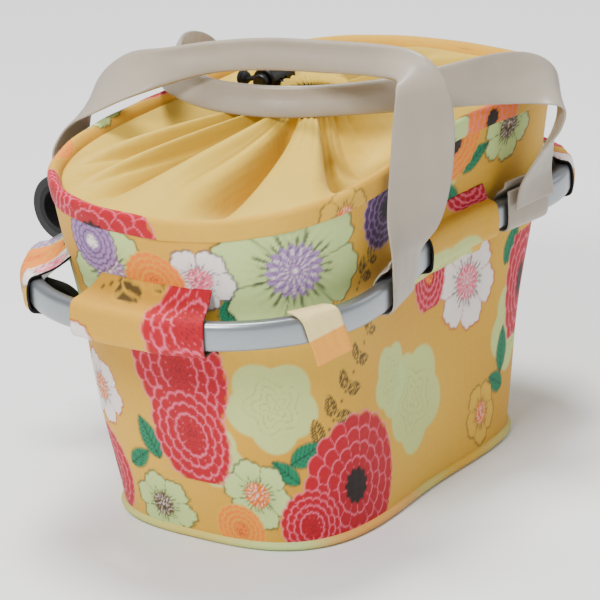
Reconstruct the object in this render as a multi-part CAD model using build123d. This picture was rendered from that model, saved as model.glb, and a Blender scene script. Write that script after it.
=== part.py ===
from build123d import *
import math
import os

# Handlebar basket, millimetres. +Z is up, X runs across the bicycle, -Y faces forwards
# and +Y faces the handlebar. The origin is the middle of the floor's underside.

# ---- driving dimensions --------------------------------------------------------------
RIM_HEIGHT = 214.0            # middle of the rim above the floor
RIM_DROP = 9.0                # the rim's ends are this much lower than its middle
RING_HEIGHT = 147.0           # centre of the aluminium ring
WALL = 4.0                    # fabric, board and lining together
FLOOR = 5.0
MOVING_GAP = 0.4

# plan outlines: near length, far length, half depth, roundness, front waist, rear waist
BASE_PLAN = (122.0, 122.0, 90.0, 3.0, 18.0, 12.0)
MIDDLE_PLAN = (160.0, 160.0, 104.0, 2.6, 33.0, 18.0)
RIM_PLAN = (176.5, 176.5, 110.5, 2.45, 24.0, 16.0)
RING_PLAN = (183.5, 172.0, 118.5, 2.6, 40.0, 22.0)
FRONT_WAIST_X = 20.0          # the front waist sits a little off the middle
WAIST_SPAN = 165.0
OUTLINE_POINTS = 36

RING_THICK = 8.5
RING_TALL = 16.0
RING_WALL = 1.5

BINDING_THICK = 1.2
BINDING_DEEP = 11.0

MOUTH_CENTRE = (4.0, -2.0)    # the liner's gathered mouth
MOUTH_RADIUS = 14.0
MOUTH_HEIGHT = 225.0
CORD_RADIUS = 1.25
CASING_RADIUS = 3.0
TAIL_X = (1.8, 6.2)           # the two free ends of the drawstring
TAIL_HEIGHT = 229.0
LOCK_CENTRE = (4.0, 27.0, 229.0)
KNOT_CENTRE = (4.0, 46.5, 226.0)

STRAP_WIDTH = 36.0
GRIP_WIDTH = 18.0
STRAP_THICK = 2.4
GRIP_THICK = 5.0
NEAR_HANDLE_X = -62.0
FAR_HANDLE_X = 84.0

PLATE_INNER_Y = 104.0
PLATE_THICK = 6.0
PLATE_HALF_WIDTH = 42.0
PLATE_BOTTOM = 102.0
PLATE_TOP = 194.0
SCREW_X = 37.0
SCREW_HEIGHTS = (120.0, 176.0)
SCREW_RADIUS = 2.0

RAIL_BOTTOM = 108.0
RAIL_TOP = 174.0
RAIL_WIDE = 4.5
FLANGE_HALF_WIDTH = 27.0
FLANGE_THICK = 4.0
NECK_HALF_WIDTH = 21.0
LATCH_TRAVEL = 4.2
LATCH_HEIGHT = 140.0
LATCH_HALF = 4.0

BAR_Y = 156.0                 # the handlebar's axis
BAR_Z = 140.0
BAR_RADIUS = 12.7
SHIM_THICK = 3.2
CLAMP_SPAN = (11.0, 31.0)
CLAMP_SCREW_OFFSET = 20.0


def waist(x, centre):
    """1 at the waist's middle, falling smoothly to 0 at its two ends."""
    away = abs(x - centre)
    if away >= WAIST_SPAN:
        return 0.0
    return 0.5 * (1.0 + math.cos(math.pi * away / WAIST_SPAN))


def plan_point(plan, turn, grow):
    """Point of a waisted rounded outline at an angle; grow widens it all round."""
    near, far, depth, roundness, front, rear = plan
    power = 2.0 / roundness
    c = math.cos(turn)
    s = math.sin(turn)
    length = near if c < 0 else far
    x = (length + grow) * math.copysign(abs(c) ** power, c)
    y = (depth + grow) * math.copysign(abs(s) ** power, s)
    ease = math.sqrt(abs(s))
    if s < 0:
        y += front * ease * waist(x, FRONT_WAIST_X)
    else:
        y -= rear * ease * waist(x, 0.0)
    return x, y


def outline_face(plan, height, grow=0.0, scale=1.0):
    """Face inside a plan outline at a height."""
    step = 2.0 * math.pi / OUTLINE_POINTS
    turns = [step * (i + 0.5) for i in range(OUTLINE_POINTS)]
    flat = [plan_point(plan, turn, grow) for turn in turns]
    points = [Vector(x * scale, y * scale, height) for x, y in flat]
    return Face(Wire([Edge.make_spline(points, periodic=True)]))


def plan_at(height):
    """Plan outline of the body at a height."""
    top = RIM_HEIGHT + 4.0
    lower = height < RING_HEIGHT
    low, high = (BASE_PLAN, MIDDLE_PLAN) if lower else (MIDDLE_PLAN, RIM_PLAN)
    start, end = (0.0, RING_HEIGHT) if lower else (RING_HEIGHT, top)
    share = (height - start) / (end - start)
    return [a + (b - a) * share for a, b in zip(low, high)]


def body_solid(grow, bottom):
    """Tapered body up past the rim, from a given height."""
    heights = [bottom, RIM_HEIGHT + 4.0]
    if bottom < RING_HEIGHT:
        heights.insert(1, RING_HEIGHT)
    return loft([outline_face(plan_at(z), z, grow) for z in heights], ruled=True)


def under_rim(lift):
    """Everything below the curved rim line, moved up by lift."""
    reach = RIM_PLAN[0] + 20.0
    top = RIM_HEIGHT + lift
    ends = top - RIM_DROP * (reach / RIM_PLAN[0]) ** 2
    with BuildSketch(Plane.XZ) as side:
        with BuildLine():
            ThreePointArc((-reach, ends), (0, top), (reach, ends))
            Polyline((reach, ends), (reach, -20), (-reach, -20), (-reach, ends))
        make_face()
    return extrude(side.sketch, amount=200, both=True)


def block(x0, x1, y0, y1, z0, z1):
    """Box given by its limits."""
    size = Box(x1 - x0, y1 - y0, z1 - z0)
    return Pos((x0 + x1) / 2, (y0 + y1) / 2, (z0 + z1) / 2) * size


def rod_y(x, z, radius, y0, y1):
    """Cylinder along Y."""
    return Pos(x, (y0 + y1) / 2, z) * Rot(90, 0, 0) * Cylinder(radius, y1 - y0)


def rod_x(y, z, radius, x0, x1):
    """Cylinder along X."""
    return Pos((x0 + x1) / 2, y, z) * Rot(0, 90, 0) * Cylinder(radius, x1 - x0)


def screw_places():
    return [(sx * SCREW_X, z) for sx in (-1, 1) for z in SCREW_HEIGHTS]


def clamp_places():
    middle = (CLAMP_SPAN[0] + CLAMP_SPAN[1]) / 2
    return [(sx * middle, BAR_Z + sz * CLAMP_SCREW_OFFSET)
            for sx in (-1, 1) for sz in (-1, 1)]


def drilled(part, radius):
    """Holes for the four screws of the hook plate."""
    for x, z in screw_places():
        part = part - rod_y(x, z, radius, 60, 130)
    return part


# ---- fabric body -----------------------------------------------------------------------
def make_wall(outer, inner):
    """Fabric side wall, open at the floor and the rim."""
    sides = ((outer - inner) & under_rim(0)) - block(-200, 200, -200, 200, -1, FLOOR)
    return drilled(sides, SCREW_RADIUS + 0.2)


def make_floor(outer):
    """Fabric base panel, sewn to the wall all round."""
    return outer & block(-200, 200, -200, 200, -1, FLOOR)


def make_binding(outer, inner):
    thick = body_solid(BINDING_THICK, 100.0) - body_solid(-WALL - BINDING_THICK, 99.0)
    band = (thick & under_rim(BINDING_THICK)) - under_rim(-BINDING_DEEP)
    return band - ((outer - inner) & under_rim(0))


def make_piping(outer):
    ring = extrude(outline_face(BASE_PLAN, 0.6, 2.6), 5.4)
    ring = chamfer(ring.edges().group_by(Axis.Z)[-1], 1.4)
    return ring - outer


def make_board(inner):
    sheet = extrude(outline_face(BASE_PLAN, FLOOR, -WALL - 1.0), 2.0)
    return sheet & inner


def curved_layer(inner, inset, thick, half_width, z0, z1):
    """Sheet that follows the inside of the rear wall."""
    near = Pos(0, -inset, 0) * inner
    far = Pos(0, -inset - thick, 0) * inner
    return (near - far) & block(-half_width, half_width, 50, 110, z0, z1)


# ---- aluminium ring --------------------------------------------------------------------
def ring_solid(thick, tall, rounding):
    outer = extrude(outline_face(RING_PLAN, RING_HEIGHT - tall / 2, thick / 2), tall)
    hole = extrude(outline_face(RING_PLAN, RING_HEIGHT - tall / 2, -thick / 2), tall)
    ring = outer - hole
    return fillet(ring.edges(), rounding)


def make_ring():
    full = ring_solid(RING_THICK, RING_TALL, 3.9)
    bore = ring_solid(RING_THICK - 2 * RING_WALL, RING_TALL - 2 * RING_WALL, 2.5)
    joint = block(-0.25, 0.25, 60, 130, 130, 170)
    return full - bore - joint


def make_joiner():
    plug = ring_solid(RING_THICK - 2 * RING_WALL - 0.1, RING_TALL - 2 * RING_WALL - 0.1, 2.4)
    return plug & block(-24, 24, 60, 130, 130, 170)


def around_ring(outside, half_height, inside):
    """Solid band that follows the ring from inside it to outside it."""
    low = RING_HEIGHT - half_height
    outer = extrude(outline_face(RING_PLAN, low, outside), 2 * half_height)
    hole = extrude(outline_face(RING_PLAN, low, inside), 2 * half_height)
    return outer - hole


def make_tunnel(outer, ring_space, limits):
    """Fabric sleeve from the wall out round the ring."""
    low = RING_HEIGHT - 12.0
    fat = extrude(outline_face(RING_PLAN, low, RING_THICK / 2 + 2.0), 24.0)
    fat = chamfer(fat.edges(), 4.0)
    piece = fat & block(*limits, low - 1, low + 25)
    return piece - outer - ring_space


def make_loops(ring_space, x):
    """The two ends of a handle, sewn round the ring."""
    half = STRAP_WIDTH / 2
    band = around_ring(RING_THICK / 2 + 2.2, RING_TALL / 2 + 2.2, -RING_THICK / 2 - 2.2)
    band = band & block(x - half, x + half, -130, 130, 130, 170)
    pieces = (band - ring_space).solids()
    return Compound(children=pieces)


def make_label(ring_space):
    band = around_ring(RING_THICK / 2 + 1.2, RING_TALL / 2 + 1.2, -RING_THICK / 2 - 1.2)
    tag = band & block(-138, -118, -130, 0, 130, 170)
    return tag - ring_space


# ---- handles ---------------------------------------------------------------------------
# Each handle is a line of stations: centre, direction of the webbing's width, width.
NEAR_STATIONS = [
    ((-62, -104.3, 156), (1.0, 0.25, 0.0), 36),
    ((-61, -104.8, 166), (1.0, 0.20, 0.0), 36),
    ((-58, -108, 185), (0.92, -0.20, 0.0), 36),
    ((-55, -111, 210), (0.85, -0.48, 0.0), 36),
    ((-52, -112, 238), (0.85, -0.52, 0.0), 35),
    ((-49, -109, 259), (0.85, -0.45, 0.15), 28),
    ((-45, -99, 266), (0.75, -0.20, 0.60), 20),
    ((-40, -75, 265), (0.45, 0.0, 0.90), 18),
    ((-38, -40, 262), (0.25, 0.0, 0.95), 18),
    ((-37, 0, 258), (0.25, 0.0, 0.95), 18),
    ((-40, 35, 252), (0.30, 0.0, 0.95), 18),
    ((-48, 62, 245), (0.40, 0.10, 0.90), 20),
    ((-55, 86, 238), (0.70, 0.20, 0.65), 28),
    ((-60, 108, 223), (0.92, 0.18, 0.30), 35),
    ((-61.5, 119, 205), (1.0, 0.10, 0.05), 36),
    ((-62, 121, 188), (1.0, 0.0, 0.0), 36),
    ((-62, 112.5, 168), (1.0, -0.08, 0.0), 36),
    ((-62, 109.4, 156), (1.0, -0.08, 0.0), 36),
]
FAR_STATIONS = [
    ((84, -96.0, 156), (1.0, 0.0, 0.0), 36),
    ((84, -97.0, 166), (1.0, 0.03, 0.0), 36),
    ((84.5, -103, 184), (0.98, 0.20, 0.0), 36),
    ((86, -112, 202), (0.90, 0.42, 0.10), 35),
    ((85, -112, 218), (0.75, 0.50, 0.43), 34),
    ((75, -104, 228), (0.50, 0.42, 0.76), 32),
    ((56, -93, 232.5), (0.35, 0.28, 0.90), 30),
    ((32, -79, 233), (0.25, 0.20, 0.92), 25),
    ((8, -56, 230.5), (0.30, 0.10, 0.95), 20),
    ((-14, -33, 230), (0.35, 0.0, 0.93), 18),
    ((-32, -8, 230), (0.35, 0.0, 0.93), 18),
    ((-40, 18, 230), (0.35, 0.0, 0.93), 18),
    ((-38, 46, 230), (0.40, 0.0, 0.90), 18),
    ((-24, 75, 232), (0.45, -0.15, 0.87), 21),
    ((8, 99, 230), (0.50, -0.25, 0.80), 28),
    ((44, 112, 215), (0.68, -0.20, 0.68), 36),
    ((72, 116.5, 192), (0.93, -0.08, 0.30), 36),
    ((83, 113.5, 170), (1.0, 0.0, 0.0), 36),
    ((84, 110.5, 156), (1.0, 0.0, 0.0), 36),
]


def station_face(stations, i):
    """Cross-section of the webbing, square to its run."""
    centre, across, width = stations[i]
    before = Vector(*stations[max(i - 1, 0)][0])
    after = Vector(*stations[min(i + 1, len(stations) - 1)][0])
    along = (after - before).normalized()
    across = Vector(*across)
    across = (across - along * across.dot(along)).normalized()
    share = (STRAP_WIDTH - width) / (STRAP_WIDTH - GRIP_WIDTH)
    thick = STRAP_THICK + (GRIP_THICK - STRAP_THICK) * share
    plane = Plane(origin=Vector(*centre), x_dir=across, z_dir=along)
    return plane * Rectangle(width, thick)


def make_handle(stations):
    """Webbing through all its stations."""
    faces = [station_face(stations, i).face() for i in range(len(stations))]
    return loft(faces, ruled=True)


# ---- drawstring liner ------------------------------------------------------------------
def liner_skin(inset):
    """Solid under the gathered fabric, from its hem up to the mouth."""
    faces = [outline_face(plan_at(192.0), 192.0 - inset / 3, -5.6 - inset),
             outline_face(plan_at(203.0), 203.0, -5.9 - inset),
             outline_face(plan_at(203.0), 209.5 - inset, -7.0 - inset, 0.88),
             outline_face(plan_at(203.0), 214.5 - inset, -8.0 - inset, 0.58),
             outline_face(plan_at(203.0), 217.5 - inset, -9.0 - inset, 0.28)]
    return loft(faces, ruled=True)


def make_liner():
    """Hem, dome, gathered neck and the casing of the drawstring."""
    x, y = MOUTH_CENTRE
    neck_height = MOUTH_HEIGHT - 215.0
    neck = Pos(x, y, 215.0 + neck_height / 2) * Cylinder(MOUTH_RADIUS + 1.0, neck_height)
    neck = neck + Pos(x, y, MOUTH_HEIGHT) * Torus(MOUTH_RADIUS, CASING_RADIUS)
    neck = neck - Pos(x, y, MOUTH_HEIGHT) * Torus(MOUTH_RADIUS, CORD_RADIUS + 0.2)
    for strand_x in TAIL_X:
        half = CORD_RADIUS + 0.4
        exit_y = y + MOUTH_RADIUS
        neck = neck - block(strand_x - half, strand_x + half, exit_y, exit_y + 6,
                            MOUTH_HEIGHT - half, MOUTH_HEIGHT + 6)
    dome = liner_skin(0.0) - liner_skin(1.5)
    return (dome + neck) - Pos(x, y, 220.0) * Cylinder(MOUTH_RADIUS - 1.6, 60.0)


def make_cord():
    x, y = MOUTH_CENTRE
    return Pos(x, y, MOUTH_HEIGHT) * Torus(MOUTH_RADIUS, CORD_RADIUS)


def tail_route(strand_x):
    x, y = MOUTH_CENTRE
    start = y + MOUTH_RADIUS + CORD_RADIUS + 0.3
    return [(strand_x, start, MOUTH_HEIGHT),
            (strand_x, start + 5.0, TAIL_HEIGHT),
            (strand_x, LOCK_CENTRE[1] + 8.0, TAIL_HEIGHT),
            (strand_x, KNOT_CENTRE[1] - 4.0, KNOT_CENTRE[2])]


def corner_radii(route):
    """The largest arc that each corner of a route takes."""
    radii = []
    for a, b, c in zip(route, route[1:], route[2:]):
        into = Vector(*b) - Vector(*a)
        out = Vector(*c) - Vector(*b)
        turn = math.radians(into.get_angle(out))
        shorter = min(into.length, out.length)
        radii.append(0.45 * shorter / math.tan(turn / 2))
    return radii


def make_tail(strand_x, name):
    route = tail_route(strand_x)
    radii = corner_radii(route)
    print(name, "radii", [round(r, 1) for r in radii])
    path = FilletPolyline(*route, radius=radii)
    start = Plane(origin=path @ 0, z_dir=path % 0)
    tube = sweep(start * Circle(CORD_RADIUS), path=path)
    expected = math.pi * CORD_RADIUS ** 2 * path.length
    print(name, "length", round(path.length, 1), "volume ratio", round(tube.volume / expected, 3))
    return tube


def make_knot():
    x, y, z = KNOT_CENTRE
    ball = Pos(x, y, z) * Sphere(4.0)
    waist_ring = Pos(x, y + 1.0, z) * Rot(90, 0, 0) * Torus(3.2, 1.6)
    return ball + waist_ring


def make_lock():
    """Body, sprung plunger and its spring; the plunger slides along X."""
    x, y, z = LOCK_CENTRE
    body = rod_x(y, z, 7.5, x - 9.0, x + 13.0)
    body = fillet(body.edges(), 1.5)
    well = rod_x(y, z, 5.2, x - 9.1, x + 11.5)
    plunger = rod_x(y, z, 4.9, x - 13.0, x + 6.0)
    plunger = fillet(plunger.edges().group_by(Axis.X)[0], 1.5)
    body = body - well
    for strand_x in TAIL_X:
        hole = rod_y(strand_x, z, CORD_RADIUS + 0.25, y - 9, y + 9)
        slot = block(strand_x - 5.2, strand_x + 1.6, y - 9, y + 9, z - 1.6, z + 1.6)
        body = body - hole
        plunger = plunger - slot
    spring = coil(2.6, 0.35, 1.9, 4.2)
    spring = Pos(x + 6.6, y, z) * Rot(0, 90, 0) * spring
    return body, plunger, spring


def coil(radius, wire, pitch, length):
    """Helical spring along Z from the origin."""
    path = Helix(pitch=pitch, height=length, radius=radius)
    start = Plane(origin=path @ 0, z_dir=path % 0)
    return sweep(start * Circle(wire), path=path, is_frenet=True)


# ---- coupling --------------------------------------------------------------------------
def seat_of(layer, x, z):
    """Innermost Y of a curved layer round a screw."""
    return (layer & rod_y(x, z, 5.0, 50, 120)).bounding_box().min.Y


def make_hook_plate():
    half = PLATE_HALF_WIDTH
    face_y = PLATE_INNER_Y + PLATE_THICK
    plate = block(-half, half, PLATE_INNER_Y, face_y, PLATE_BOTTOM, PLATE_TOP)
    plate = fillet(plate.edges().filter_by(Axis.Y), 10)
    for low, high in ((111, 129), (168, 185)):
        wall = extrude(outline_face(plan_at(high), low - 1, 0.1), high - low + 2)
        plate = plate + (block(-41, 41, 80, PLATE_INNER_Y + 1, low, high) - wall)
    inside = FLANGE_HALF_WIDTH + MOVING_GAP
    lip_y = face_y + MOVING_GAP + FLANGE_THICK + MOVING_GAP
    for side in (-1, 1):
        edge = sorted((side * inside, side * (inside + RAIL_WIDE)))
        lip = sorted((side * (NECK_HALF_WIDTH + 1.2), side * (inside + RAIL_WIDE)))
        plate = plate + block(*edge, face_y, lip_y + 3.5, RAIL_BOTTOM, RAIL_TOP)
        plate = plate + block(*lip, lip_y, lip_y + 3.5, RAIL_BOTTOM, RAIL_TOP)
    plate = plate + block(-inside - RAIL_WIDE, inside + RAIL_WIDE, face_y, lip_y - 0.5,
                          RAIL_TOP, RAIL_TOP + 6)
    catch = block(-6.6, 6.6, face_y - 4.5, face_y + 1,
                  PLATE_BOTTOM - 1, LATCH_HEIGHT + LATCH_HALF + 0.6)
    plate = plate - catch
    for x, z in screw_places():
        plate = plate - rod_y(x, z, SCREW_RADIUS + 0.2, 70, 120)
        plate = plate - rod_y(x, z, 4.0, face_y - 3.6, face_y + 1)
    return plate


def make_plate_screws(seats):
    head_y = PLATE_INNER_Y + PLATE_THICK - 3.5
    pieces = []
    for (x, z), seat in zip(screw_places(), seats):
        screw = rod_y(x, z, SCREW_RADIUS, seat - 6.5, head_y + 0.1)
        head = rod_y(x, z, 3.7, head_y, head_y + 2.9)
        recess = Pos(x, head_y + 2.0, z) * Rot(90, 0, 0) * extrude(RegularPolygon(1.7, 6), 2, both=True)
        pieces.append(screw + head - recess)
    return Compound(children=pieces)


def make_plate_nuts(seats):
    pieces = []
    for (x, z), seat in zip(screw_places(), seats):
        nut = Pos(x, seat - 0.2, z) * Rot(90, 0, 0) * extrude(RegularPolygon(4.2, 6), 3.6)
        pieces.append(nut - rod_y(x, z, SCREW_RADIUS + 0.03, 50, 120))
    return Compound(children=pieces)


FRONT_FACE_Y = PLATE_INNER_Y + PLATE_THICK + MOVING_GAP
WEDGE_START_Y = FRONT_FACE_Y + 6.0
CHAMBER_END_Y = FRONT_FACE_Y + 25.0
SPRING_RADIUS = 2.3


def make_housing():
    split_y = BAR_Y - 0.5
    neck_y = FRONT_FACE_Y + FLANGE_THICK
    low = RAIL_BOTTOM + 4
    top = RAIL_TOP - 0.4
    flange = block(-FLANGE_HALF_WIDTH, FLANGE_HALF_WIDTH, FRONT_FACE_Y, neck_y, low, top)
    neck = block(-NECK_HALF_WIDTH, NECK_HALF_WIDTH, neck_y - 1, BAR_Y - 20, low, top)
    saddle = block(-CLAMP_SPAN[1], CLAMP_SPAN[1], BAR_Y - 23, split_y, BAR_Z - 25, BAR_Z + 25)
    saddle = fillet(saddle.edges().filter_by(Axis.X), 3)
    housing = flange + neck + saddle
    housing = housing - rod_x(BAR_Y, BAR_Z, BAR_RADIUS + SHIM_THICK, -40, 40)
    housing = housing - block(-CLAMP_SPAN[0], CLAMP_SPAN[0], BAR_Y - 17.5, BAR_Y, BAR_Z - 30, BAR_Z + 30)
    gap = 0.3
    bar_gap = LATCH_HALF + gap
    housing = housing - block(-6 - gap, 6 + gap, FRONT_FACE_Y - 1, CHAMBER_END_Y,
                              LATCH_HEIGHT - bar_gap, LATCH_HEIGHT + bar_gap)
    housing = housing - block(-8 - gap, 8 + gap, WEDGE_START_Y - 1, CHAMBER_END_Y,
                              LATCH_HEIGHT + LATCH_HALF - 0.1, RAIL_TOP + 5)
    for x, z in clamp_places():
        housing = housing - rod_y(x, z, 2.2, BAR_Y - 21, BAR_Y)
        out = math.copysign(1, x)
        slot = sorted((x - out * 4.0, out * 45))
        housing = housing - block(*slot, BAR_Y - 17.6, BAR_Y - 13.9, z - 4.0, z + 4.0)
    return housing


def wedge_line(offset):
    """Height of the sloped face between button and bolt, as z = y + this."""
    return LATCH_HEIGHT + LATCH_HALF - WEDGE_START_Y - offset


def prism_x(points, half_width):
    """Outline in Y and Z, made thick along X."""
    with BuildSketch(Plane.YZ) as side:
        with BuildLine():
            Polyline(*points, points[0])
        make_face()
    return extrude(side.sketch, amount=half_width, both=True)


def make_bolt():
    top = LATCH_HEIGHT + LATCH_HALF
    nose_y = FRONT_FACE_Y - 4.0
    tail_y = CHAMBER_END_Y - 5.0
    bar = block(-6, 6, nose_y, tail_y, LATCH_HEIGHT - LATCH_HALF, top)
    nose_cut = prism_x([(nose_y - 1, top + 1), (nose_y + 3, top + 1), (nose_y - 1, top - 3)], 7)
    bar = bar - nose_cut
    slope = wedge_line(0.42)
    start = top - slope
    wedge = prism_x([(start, top), (tail_y, tail_y + slope), (tail_y, top)], 6)
    bore = rod_y(0, LATCH_HEIGHT, SPRING_RADIUS + 0.4, tail_y - 13.0, tail_y + 1)
    return bar + wedge - bore


def make_button():
    slope = wedge_line(0.0)
    low = LATCH_HEIGHT + LATCH_HALF + LATCH_TRAVEL + 0.4
    front = WEDGE_START_Y - 0.6
    rear = CHAMBER_END_Y - 5.0
    top = RAIL_TOP + 5.5
    points = [(front, low), (low - slope, low), (rear, rear + slope), (rear, top), (front, top)]
    stem = prism_x(points, 8)
    return fillet(stem.edges().group_by(Axis.Z)[-1], 1.5)


def make_latch_spring():
    start = CHAMBER_END_Y - 5.0 - 12.6
    spring = coil(SPRING_RADIUS - 0.4, 0.35, 2.2, 16.6)
    return Pos(0, start + 17.1, LATCH_HEIGHT) * Rot(90, 0, 0) * spring


def make_cap(side):
    split_y = BAR_Y + 0.5
    x0, x1 = sorted((side * CLAMP_SPAN[0], side * CLAMP_SPAN[1]))
    cap = rod_x(BAR_Y, BAR_Z, BAR_RADIUS + SHIM_THICK + 4.5, x0, x1)
    cap = cap + block(x0, x1, split_y, split_y + 6, BAR_Z - 25, BAR_Z + 25)
    cap = cap & block(x0, x1, split_y, BAR_Y + 40, BAR_Z - 40, BAR_Z + 40)
    cap = cap - rod_x(BAR_Y, BAR_Z, BAR_RADIUS + SHIM_THICK, -40, 40)
    for x, z in clamp_places():
        cap = cap - rod_y(x, z, 2.2, BAR_Y, BAR_Y + 40)
        cap = cap - rod_y(x, z, 3.9, split_y + 6, BAR_Y + 40)
    return cap


def make_clamp_screws():
    seat = BAR_Y + 6.5
    pieces = []
    for x, z in clamp_places():
        shaft = rod_y(x, z, 2.0, BAR_Y - 19.5, seat + 0.1)
        head = rod_y(x, z, 3.6, seat, seat + 3.4)
        recess = Pos(x, seat + 3.0, z) * Rot(90, 0, 0) * extrude(RegularPolygon(1.6, 6), 2, both=True)
        pieces.append(shaft + head - recess)
    return Compound(children=pieces)


def make_clamp_nuts():
    pieces = []
    for x, z in clamp_places():
        nut = Pos(x, BAR_Y - 15.75, z) * Box(7, 3.2, 7)
        pieces.append(nut - rod_y(x, z, 2.03, BAR_Y - 30, BAR_Y))
    return Compound(children=pieces)


def make_shims():
    pieces = []
    for side in (-1, 1):
        x0, x1 = sorted((side * CLAMP_SPAN[0], side * CLAMP_SPAN[1]))
        sleeve = rod_x(BAR_Y, BAR_Z, BAR_RADIUS + SHIM_THICK - 0.05, x0, x1)
        sleeve = sleeve - rod_x(BAR_Y, BAR_Z, BAR_RADIUS, -40, 40)
        sleeve = sleeve - block(-40, 40, BAR_Y - 0.4, BAR_Y + 0.4, BAR_Z - 30, BAR_Z + 30)
        pieces += sleeve.solids()
    return Compound(children=pieces)


# ---- assembly --------------------------------------------------------------------------
def make_all():
    outer = body_solid(0.0, 0.0)
    inner = body_solid(-WALL, FLOOR)
    ring_space = ring_solid(RING_THICK + 0.5, RING_TALL + 0.5, 4.0)
    stiffener = drilled(curved_layer(inner, 0.1, 1.5, 72, 14, 191), SCREW_RADIUS + 0.2)
    backing = drilled(curved_layer(inner, 1.7, 3.0, 48, 110, 188), SCREW_RADIUS + 0.2)
    seats = [seat_of(backing, x, z) for x, z in screw_places()]
    lock_body, lock_plunger, lock_spring = make_lock()
    parts = {
        "basket_wall": make_wall(outer, inner),
        "floor_panel": make_floor(outer),
        "rim_binding": make_binding(outer, inner),
        "base_piping": make_piping(outer),
        "bottom_board": make_board(inner),
        "rear_stiffener": stiffener,
        "backing_plate": backing,
        "frame_tube": make_ring(),
        "tube_joiner": make_joiner(),
        "tunnel_near": make_tunnel(outer, ring_space, (-220, -100, -52, 27)),
        "tunnel_front": make_tunnel(outer, ring_space, (-12, 58, -160, -40)),
        "tunnel_far": make_tunnel(outer, ring_space, (120, 220, -81, 12)),
        "tunnel_rear_near": make_tunnel(outer, ring_space, (-162, -118, 60, 160)),
        "tunnel_rear_far": make_tunnel(outer, ring_space, (106, 140, 40, 160)),
        "label_patch": make_label(ring_space),
        "handle_near_loops": make_loops(ring_space, NEAR_HANDLE_X),
        "handle_far_loops": make_loops(ring_space, FAR_HANDLE_X),
        "handle_near": make_handle(NEAR_STATIONS),
        "handle_far": make_handle(FAR_STATIONS),
        "drawstring_liner": make_liner(),
        "drawstring_cord": make_cord(),
        "drawstring_tail_near": make_tail(TAIL_X[0], "drawstring_tail_near"),
        "drawstring_tail_far": make_tail(TAIL_X[1], "drawstring_tail_far"),
        "cord_knot": make_knot(),
        "cord_lock_body": lock_body,
        "cord_lock_plunger": lock_plunger,
        "cord_lock_spring": lock_spring,
        "hook_plate": make_hook_plate(),
        "plate_screws": make_plate_screws(seats),
        "plate_nuts": make_plate_nuts(seats),
        "bracket_housing": make_housing(),
        "latch_bolt": make_bolt(),
        "latch_spring": make_latch_spring(),
        "release_button": make_button(),
        "clamp_cap_near": make_cap(-1),
        "clamp_cap_far": make_cap(1),
        "clamp_screws": make_clamp_screws(),
        "clamp_nuts": make_clamp_nuts(),
        "bar_shims": make_shims(),
    }
    return parts


os.makedirs("parts", exist_ok=True)
for node, shape in make_all().items():
    export_step(shape, "parts/" + node + ".step")
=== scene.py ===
import math

import bmesh
import bpy
import numpy as np
from mathutils import Matrix, Vector


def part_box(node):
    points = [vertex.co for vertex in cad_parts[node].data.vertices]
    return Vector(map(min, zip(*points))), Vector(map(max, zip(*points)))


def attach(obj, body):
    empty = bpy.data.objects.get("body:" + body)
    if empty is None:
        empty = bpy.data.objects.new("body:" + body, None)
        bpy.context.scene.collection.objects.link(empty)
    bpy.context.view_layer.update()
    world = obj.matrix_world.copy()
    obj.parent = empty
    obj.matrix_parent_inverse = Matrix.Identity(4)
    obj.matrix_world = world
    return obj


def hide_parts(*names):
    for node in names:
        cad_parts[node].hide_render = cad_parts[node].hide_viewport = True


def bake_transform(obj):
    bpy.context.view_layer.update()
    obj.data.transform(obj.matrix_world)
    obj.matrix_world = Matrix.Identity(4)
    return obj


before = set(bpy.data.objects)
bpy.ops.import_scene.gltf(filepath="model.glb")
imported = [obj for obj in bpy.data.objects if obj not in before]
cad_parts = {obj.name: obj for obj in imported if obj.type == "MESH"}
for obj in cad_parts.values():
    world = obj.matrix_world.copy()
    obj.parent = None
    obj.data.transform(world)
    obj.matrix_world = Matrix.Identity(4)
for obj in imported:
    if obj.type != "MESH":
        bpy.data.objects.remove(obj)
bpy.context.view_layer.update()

MM = 0.001

# ---- driving dimensions, millimetres, the same as the CAD part's -----------------------
RIM_MIDDLE = 214.0
RIM_DROP = 9.0                # the rim's ends are this much lower than its middle
PANEL_TURN = -2.42            # direction of the liner's flat front panel
RING_HEIGHT = 147.0           # where the body's taper changes
LOFT_TOP = 218.0              # height that the rim's plan is given at
RING_Z = sum(c[2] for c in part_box("frame_tube")) / 2 / MM
BASE_PLAN = (122.0, 122.0, 90.0, 3.0, 18.0, 12.0)
MIDDLE_PLAN = (160.0, 160.0, 104.0, 2.6, 33.0, 18.0)
RIM_PLAN = (176.5, 176.5, 110.5, 2.45, 24.0, 16.0)
RING_PLAN = (183.5, 172.0, 118.5, 2.6, 40.0, 22.0)
WAIST_SPAN = 165.0
FRONT_WAIST_X = 20.0
TUBE_OUT = 4.25
TUBE_UP = 8.0
MOUTH = (4.0, -2.0, 225.0)
DEEPEN = 1.5                  # power that darkens and saturates every colour
REAR = -1.5 * math.pi         # the wall's seam: the middle of the rear


def srgb(hex_colour):
    """Linear colour from a hex string, deepened because bright studio light washes colours out."""
    parts = np.array([int(hex_colour[i:i + 2], 16) / 255 for i in (0, 2, 4)])
    return np.where(parts < 0.04045, parts / 12.92, ((parts + 0.055) / 1.055) ** 2.4) ** DEEPEN


# ---- outlines --------------------------------------------------------------------------
def waist(x, centre):
    """1 at the waist's middle, falling smoothly to 0 at its two ends."""
    away = np.clip(np.abs(x - centre) / WAIST_SPAN, 0, 1)
    return 0.5 * (1 + np.cos(math.pi * away))


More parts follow.
